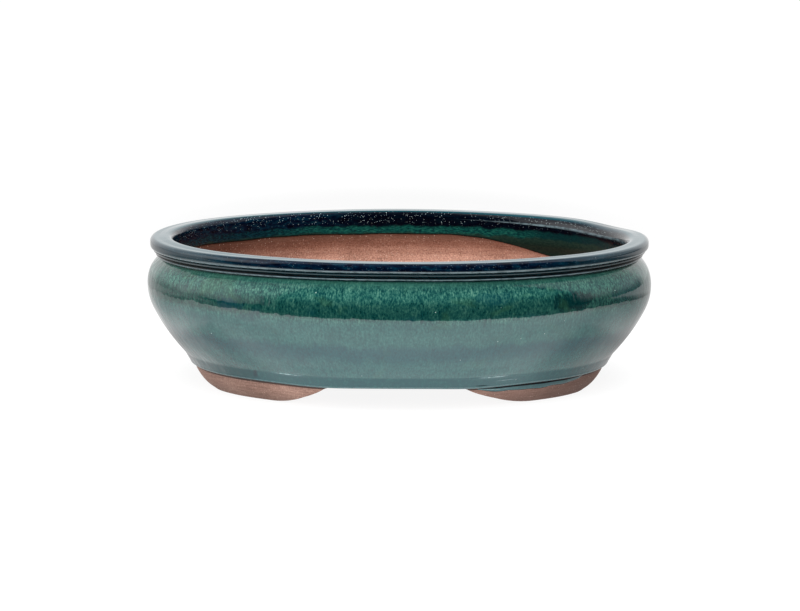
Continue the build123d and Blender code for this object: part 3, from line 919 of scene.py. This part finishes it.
def dark_glaze():
    """The glaze of the neck and the lip: blue-black with crystals, green low on the inside."""
    s = new_shader("dark_glaze")
    skin, coat_and_light = s.attribute("skin", "Vector"), s.attribute("coat_and_light", "Fac")
    across, _, level = s.parts(s.place())
    # How far along the profile from the lip's underside: 7.8 to 14.2 is its flat top.
    along = s.parts(skin)["Z"]
    inside = s.fade(along, 14.0, 17.0)
    base = s.ramp(
        s.noise(s.scaled(skin, 1, 1, 3.0), 0.20, 4.0, 0.65),
        (0.36, (0.0004, 0.0010, 0.004)),
        (0.50, (0.0006, 0.0042, 0.014)),
        (0.64, (0.0012, 0.016, 0.029)),
    )
    base = s.mix(s.times(inside, s.fade(across, -60, -10, 0.2, 0.85)), base, NIGHT_BLACK)
    # Green low on the inside, darker towards both ends.
    smears = s.noise(s.scaled(skin, 0.3, 0.3, 1.2), 1.6, 3.0, 0.6)
    green = s.ramp(
        smears,
        (0.36, (0.001, 0.014, 0.016)),
        (0.50, (0.002, 0.040, 0.034)),
        (0.66, (0.012, 0.085, 0.062)),
    )
    night = s.ramp(smears, (0.42, (0.0005, 0.004, 0.009)), (0.62, (0.001, 0.022, 0.032)))
    green = s.mix(s.fade(across, -30, -80, 0.0, 0.95), green, night)
    green = s.mix(s.fade(across, 50, 85, 0.0, 0.88), green, SPLASH_DARK)
    sway = s.swing(s.noise(s.scaled(skin, 1, 1, 0.3), 0.12, 2.0), 4)
    edge_level = s.plus(level, sway)
    base = s.mix(s.times(inside, s.fade(edge_level, 67.2, 65.5)), base, green)
    # Teal on the outside at the ends and on the neck, and thin glaze in the splash.
    ends = s.fade(s.absolute(across), 65, 105)
    base = s.mix(s.times(ends, s.fade(inside, 0.0, 1.0, 0.60, 0.0)), base, END_TEAL)
    neck = s.minus(s.fade(level, 70.6, 69.8), inside, clamp=True)
    base = s.mix(neck, base, NECK_TEAL)
    splash = s.ramp(smears, (0.36, (0.004, 0.016, 0.013)), (0.62, (0.011, 0.026, 0.019)))
    base = s.mix(s.times(s.fade(edge_level, 63.6, 62.0), inside), base, splash)
    # Black where the glaze ends thick on the inside, and painted shade in the groove over the bead.
    edge_and_shade = s.fade(coat_and_light, 0.25, 0.9)
    base = s.mix(edge_and_shade, base, EDGE_AND_SHADE_BLACK)
    # Crystals in clusters, most of them high on the inside.
    crystals = s.plus(s.specks(skin, 1.3, 0.24, 0.36), s.specks(skin, 0.8, 0.15, 0.30), clamp=True)
    clusters = s.fade(s.noise(skin, 0.16, 2.0), 0.36, 0.56, 0.35, 1.0)
    high = s.times(s.fade(level, 67.0, 69.0, 0.06, 1.0), s.fade(inside, 0.0, 1.0, 0.22, 1.0))
    base = s.mix(s.times(crystals, s.times(clusters, high)), base, CRYSTAL)
    # Teal on the flat top, made lighter there as painted light, and grey where the glaze is thin on
    # the bead and under the lip, with painted highlights there.
    flat = s.times(s.fade(along, 6.6, 7.6), s.fade(along, 16.4, 15.4))
    base = s.mix(s.times(flat, s.fade(level, 72.9, 73.6)), base, FLAT_TOP_LIT_TEAL)
    breaks = s.fade(s.noise(s.scaled(skin, 1, 1, 2.0), 0.25, 3.0, 0.6), 0.38, 0.58, 0.4, 1.0)
    thin_and_highlight = s.times(breaks, s.fade(ends, 0.0, 1.0, 1.0, 0.7))
    base = s.mix(s.times(s.fade(coat_and_light, -0.1, -0.9), thin_and_highlight), base, THIN_AND_HIGHLIGHT_GREY)
    # The inside is dull below its rounding, which is wider at the right end.
    rounding = s.minus(along, s.fade(across, 35, 85, 0.0, 1.6))
    shine = s.fade(rounding, 16.8, 19.2, 0.5, 0.05)
    shine = s.times(shine, s.fade(edge_and_shade, 0.0, 1.0, 1.0, 0.3))
    bumps = ((s.noise(skin, 0.05, 2.0), 0.16), (s.noise(skin, 0.5, 2.0), 0.012))
    return s.surface(base, roughness=0.05, ior=1.52, bumps=bumps, shine=shine)


INNER_SHADE = (0.060, 0.026, 0.018)
UNDER_LIP_SHADE_RED = (0.072, 0.025, 0.014)
FOOT_GROUND_SHADE = (0.10, 0.060, 0.046)
RIGHT_FOOT_SHADE = (0.080, 0.040, 0.032)
IRON_JOINT_AND_SHADOW = (0.022, 0.010, 0.008)
PALE_GRIT = (0.62, 0.46, 0.38)
DARK_GRIT = (0.045, 0.022, 0.016)


def clay():
    """Bare red clay with turning lines and grit: painted light inside, painted shade under the lip
    and on the feet, and dark joints deepened by painted shadow.
    """
    s = new_shader("clay")
    place = s.place()
    across, ahead, level = s.parts(place)
    lines = s.noise(s.scaled(place, 0.08, 0.08, 1.6), 1.0, 4.0, 0.6)
    cloud = s.noise(place, 0.05, 3.0, 0.5)
    grain = s.noise(place, 1.4, 3.0, 0.65)
    inside = s.fade(level, 17.5, 19.0)
    tone = s.times(lines, s.fade(inside, 0.0, 1.0, 0.35, 0.17))
    tone = s.plus(tone, s.times(cloud, 0.25))
    tone = s.plus(tone, s.times(grain, s.fade(inside, 0.0, 1.0, 0.40, 0.58)))
    base = s.ramp(
        tone,
        (0.34, (0.090, 0.048, 0.036)),
        (0.46, (0.190, 0.105, 0.080)),
        (0.56, (0.270, 0.160, 0.125)),
        (0.68, (0.380, 0.250, 0.200)),
    )
    # Inside: lighter clay as painted light, shaded at the left, and darker redder clay as painted
    # shade under the lip's glaze.
    base = s.mix(inside, base, (1.68, 1.58, 1.50), "MULTIPLY")
    base = s.mix(s.times(inside, s.fade(across, -40, -90, 0.0, 0.45)), base, INNER_SHADE)
    base = s.mix(s.fade(level, 53.0, 60.5, 0.0, 0.50), base, UNDER_LIP_SHADE_RED)
    base = s.mix(s.fade(level, 58.5, 61.5, 0.0, 0.65), base, UNDER_LIP_SHADE_RED)
    # Feet: painted shade low down at the ground and on the front right, and a dark iron joint on
    # top with painted shadow in the gap under the cordon.
    base = s.mix(s.fade(level, 7.0, 0.0, 0.0, 0.45), base, FOOT_GROUND_SHADE)
    right_foot_shade = s.times(s.fade(across, 30, 45), s.fade(ahead, -10, -30))
    base = s.mix(s.times(right_foot_shade, s.fade(inside, 0.0, 1.0, 0.5, 0.0)), base, RIGHT_FOOT_SHADE)
    along = s.parts(s.attribute("skin", "Vector"))["Z"]
    iron_joint_and_shadow = s.times(s.fade(along, 1.35, 0.85), s.fade(level, 7.5, 8.5))
    iron_joint_and_shadow = s.times(iron_joint_and_shadow, s.fade(level, 13.0, 11.5, 0.0, 0.92))
    base = s.mix(iron_joint_and_shadow, base, IRON_JOINT_AND_SHADOW)
    pale = s.times(s.specks(place, 0.9, 0.27, 0.30), s.fade(inside, 0.0, 1.0, 0.3, 0.8))
    base = s.mix(pale, base, PALE_GRIT)
    base = s.mix(s.specks(s.scaled(place, 1.1, 1.1, 1.1), 0.6, 0.12, 0.16), base, DARK_GRIT)
    return s.surface(base, roughness=0.85, ior=1.45, bumps=((grain, 0.10), (lines, 0.08)))


def world():
    """Studio: white behind, grey at the sides, dark where the camera stands."""
    bpy.context.scene.world = bpy.data.worlds.new("studio")
    s = Shader(bpy.context.scene.world)
    x, y, z = s.parts(s.node("TexCoord", output="Generated"))
    flat = s.plus(s.math("POWER", s.squares(x, y), 0.5), 1e-4)
    ahead, sideways = s.over(y, flat), s.over(x, flat)
    path = s.node("LightPath", output=None).outputs
    matt = path["Is Diffuse Ray"]
    # The four sides of the studio. Matt surfaces get another share of them than shiny ones.
    front = s.times(s.fade(z, 0.35, 0.85, 0.01, 0.55), s.blend(matt, 0.12, 1.0))
    lamp = s.fade(sideways, -0.86, -0.98, 0.98, 1.58)
    left = s.times(lamp, s.fade(z, 0.80, 0.55, 0.45, 1.0))
    left = s.times(left, s.fade(z, 0.0, 0.18, 0.55, 1.0))
    right = s.times(s.fade(z, 0.0, 0.20, 0.16, 0.85), s.fade(ahead, 0.05, 0.30, 1.0, 0.76))
    back = s.fade(z, 0.57, 0.87, 1.03, s.blend(matt, 0.08, 0.45))
    on_right = s.fade(sideways, -0.1, 0.1)
    on_side = s.fade(s.minus(ahead, s.times(on_right, 0.36)), -0.64, -0.56)
    light = s.blend(on_side, front, s.blend(on_right, left, right))
    light = s.blend(s.fade(ahead, 0.70, 0.84), light, back)
    light = s.times(light, s.fade(z, -0.05, -0.03))
    light = s.times(light, s.blend(matt, 1.0, s.fade(on_side, 0.0, 1.0, 0.5, 0.68)))
    light = s.blend(path["Is Camera Ray"], light, 1.0)
    background = s.node("Background", {"Color": (1, 1, 1, 1), "Strength": light})
    s.node("OutputWorld", {"Surface": background}, output=None)


def plane(name, size, level, material):
    """A square sheet that isn't part of the object, in metres."""
    mesh = bpy.data.meshes.new(name)
    half = size / 2
    corners = [(-half, -half, 0), (half, -half, 0), (half, half, 0), (-half, half, 0)]
    mesh.from_pydata(corners, [], [(0, 1, 2, 3)])
    made = bpy.data.objects.new(name, mesh)
    bpy.context.scene.collection.objects.link(made)
    made.location = (0, 0, level)
    mesh.materials.append(material)
    return made


def white_sheet():
    """White light from the sheet, dimmed round the bowl by a painted shadow, with some share of a
    matt white.
    """
    s = new_shader("floor_white")
    x, y, _ = s.parts(s.place())
    away = s.squares(s.over(x, 200), s.over(s.minus(y, 500), 330))
    strength = s.minus(s.fade(y, 1000, 2200, 0.90, 0.97), s.fade(away, 1.5, 0.5, 0.0, 0.10))
    light = s.node("Emission", {"Color": (1, 1, 1, 1), "Strength": strength})
    matt = s.node("BsdfDiffuse", {"Color": (0.12, 0.12, 0.12, 1)})
    return s.output(s.node("AddShader", {0: light, 1: matt}))


# Strength of the lit pool from its front, 200 mm before the bowl's middle, to 100 mm behind.
POOL_STRENGTH = ((0.24, 1.00), (0.30, 0.94), (0.34, 0.80), (0.60, 0.70), (0.73, 0.48), (0.87, 0.39))


def lit_pool():
    """The light on the sheet as the bowl gets it: an oval pool, brightest before the bowl."""
    s = new_shader("lit_pool")
    x, y, _ = s.parts(s.place())
    aside = s.math("POWER", s.absolute(s.over(s.minus(x, -40), 360)), 1.4)
    behind = s.over(y, s.fade(y, 0, 20, 227, 400))
    in_pool = s.fade(s.plus(aside, s.times(behind, behind)), 1.04, 0.97)
    share = s.node("MapRange", {"Value": y, "From Min": -200, "From Max": 100})
    light_and_shade_pool = s.ramp(share, *((place, (strength,) * 3) for place, strength in POOL_STRENGTH))
    light_and_shade_pool = s.times(light_and_shade_pool, 2.5)
    # Dimmer at the right end, and where the bowl itself shades the sheet.
    turned = s.times(s.fade(x, 50, 120), s.fade(y, -100, -60))
    light_and_shade_pool = s.times(light_and_shade_pool, s.fade(turned, 0.0, 1.0, 1.0, 0.75))
    open_sheet = s.math("MAXIMUM", s.fade(s.absolute(x), 125, 155), s.fade(y, -55, -80))
    light_and_shade_pool = s.times(light_and_shade_pool, s.fade(open_sheet, 0.0, 1.0, 0.62, 1.0))
    left, right = s.fade(x, -450, -800, 0.38, 0.85), s.fade(x, 600, 1100, 0.13, 0.17)
    beyond = s.blend(s.fade(x, -100, 100), left, right)
    beyond = s.blend(s.fade(y, 80, 300), beyond, 0.8)
    beyond = s.times(beyond, s.fade(y, -260, -120))
    strength = s.blend(in_pool, beyond, light_and_shade_pool)
    return s.output(s.node("Emission", {"Color": (1, 1, 1, 1), "Strength": strength}))


def floor():
    """A white sheet for the camera, and the light that the bowl gets from it."""
    sheet = plane("floor", size=40, level=-0.0002, material=white_sheet())
    sheet.visible_glossy = sheet.visible_diffuse = False
    card = plane("floor_light", size=8, level=-0.0004, material=lit_pool())
    card.visible_camera = card.visible_shadow = card.visible_transmission = False


def softbox(name, size, place, power):
    """A soft light on the bowl that shows in no reflection, in metres."""
    data = bpy.data.lights.new(name, "AREA")
    data.shape, data.size, data.size_y = "RECTANGLE", *size
    data.energy = power
    made = bpy.data.objects.new(name, data)
    bpy.context.scene.collection.objects.link(made)
    aim = Vector((0, 0, 0.04))
    made.location = place
    made.rotation_mode = "QUATERNION"
    made.rotation_quaternion = (aim - Vector(place)).to_track_quat("-Z", "Y")
    made.visible_glossy = made.visible_camera = False


def camera():
    """The photograph's view: its distance, pitch and roll were fitted to the outlines."""
    distance, pitch, roll = 1.523, radians(9.02), radians(0.28)
    target = Vector((0.00033, 0, 0.0378))
    ahead = Vector((0, cos(pitch), -sin(pitch)))
    right, up = Vector((1, 0, 0)), Vector((0, sin(pitch), cos(pitch)))
    image_right = right * cos(roll) + up * sin(roll)
    image_up = up * cos(roll) - right * sin(roll)
    data = bpy.data.cameras.new("camera")
    data.lens, data.sensor_width = 135, 36
    data.clip_start, data.clip_end = 0.05, 100
    made = bpy.data.objects.new("camera", data)
    bpy.context.scene.collection.objects.link(made)
    turn = Matrix((image_right, image_up, -ahead)).transposed().to_4x4()
    made.matrix_world = Matrix.Translation(target - ahead * distance) @ turn
    bpy.context.scene.camera = made


MATERIALS = {"clay": clay(), "green_glaze": green_glaze(), "dark_glaze": dark_glaze()}


def stand_in(piece, slot, *nodes):
    """Give a piece its material and its body, in place of the CAD nodes it stands for."""
    piece.data.materials.append(MATERIALS[slot])
    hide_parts(*nodes)
    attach(piece, "root")


stand_in(belly_wall(), "clay", "belly_wall")
stand_in(outer_glaze(), "green_glaze", "outer_glaze")
stand_in(neck_moulding(), "dark_glaze", "neck_moulding")
stand_in(lip_clay(), "clay", "lip_coil")
stand_in(lip_glaze(), "dark_glaze", "lip_glaze")
stand_in(foot_run(), "green_glaze", "foot_glaze_run")
for side, mirror_x in (("left", -1), ("right", 1)):
    for end, mirror_y in (("front", 1), ("rear", -1)):
        arch = FRONT_ARCH.get((side, end), SIDE_ARCH)
        piece = foot(f"{end}_{side}_foot", mirror_x, mirror_y, arch)
        stand_in(piece, "clay", f"foot_{end}_{side}")
for node in ("floor_slab", "base_cordon"):
    mesh = frame["nodes"][node].data
    mesh.materials.clear()
    mesh.materials.append(MATERIALS["clay"])

world()
floor()
softbox("top_light", size=(1.4, 0.8), place=(0.0, -0.40, 1.15), power=34)
softbox("front_light", size=(1.6, 0.8), place=(-0.3, -1.3, 0.8), power=15)
camera()
bpy.context.scene.view_settings.view_transform = "Standard"
